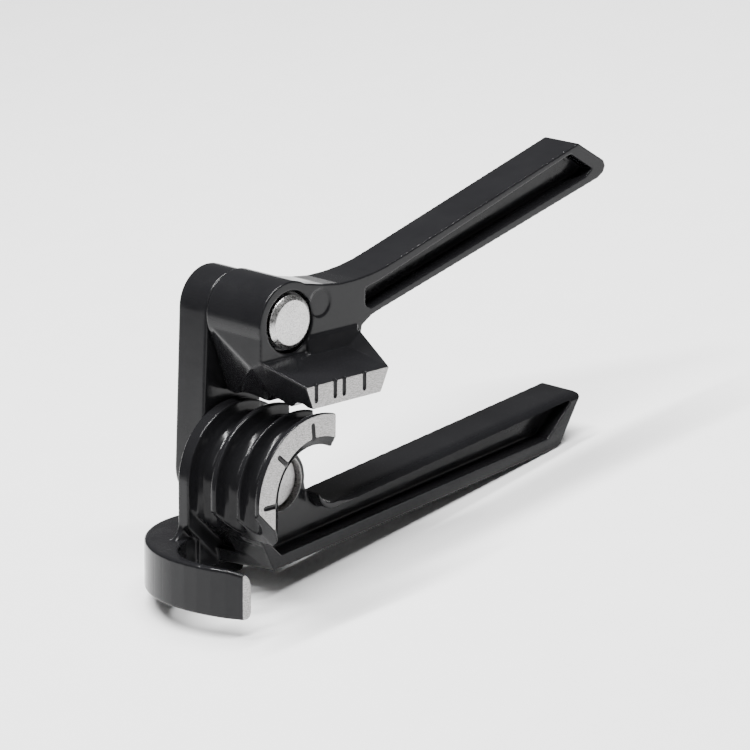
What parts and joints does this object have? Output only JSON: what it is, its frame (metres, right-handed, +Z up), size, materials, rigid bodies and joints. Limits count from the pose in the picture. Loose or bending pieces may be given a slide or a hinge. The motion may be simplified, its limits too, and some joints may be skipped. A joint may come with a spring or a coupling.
{
  "type": "tube bender",
  "caption": "Hand lever tube bender: a grooved forming wheel and tube hook on one handle, a bending shoe on the other, joined by a riveted link.",
  "frame": {"origin": "centre of the bounding box at the level it stands on", "axes": "+Z up, +X towards the handles' ends, -Y towards the ground gauge faces; both rivets run along Y"},
  "size_m": [0.1716, 0.0488, 0.082],
  "materials": {
    "lower_handle_paint": "gloss black enamel on die-cast metal, bare ground metal on the gauge face",
    "upper_handle_paint": "gloss black enamel on die-cast metal, bare ground metal on the gauge face",
    "link_paint": "gloss black enamel",
    "lower_pin_steel": "turned and peened steel",
    "upper_pin_steel": "turned and peened steel"
  },
  "bodies": {
    "lower_handle": {"lower_handle": "lower_handle_paint"},
    "link": {"connecting_link": "link_paint", "lower_pin": "lower_pin_steel", "upper_pin": "upper_pin_steel"},
    "upper_handle": {"upper_handle": "upper_handle_paint"}
  },
  "joints": [
    {"name": "link_swing", "type": "hinge", "parent": "lower_handle", "child": "link", "pos_m": [-0.04842, 0.00885, 0.0284], "axis": [0, -1, 0], "range_deg": [-15, 95]},
    {"name": "upper_handle_pivot", "type": "hinge", "parent": "link", "child": "upper_handle", "pos_m": [-0.039, 0.00885, 0.0711], "axis": [0, -1, 0], "range_deg": [0, 110]}
  ]
}
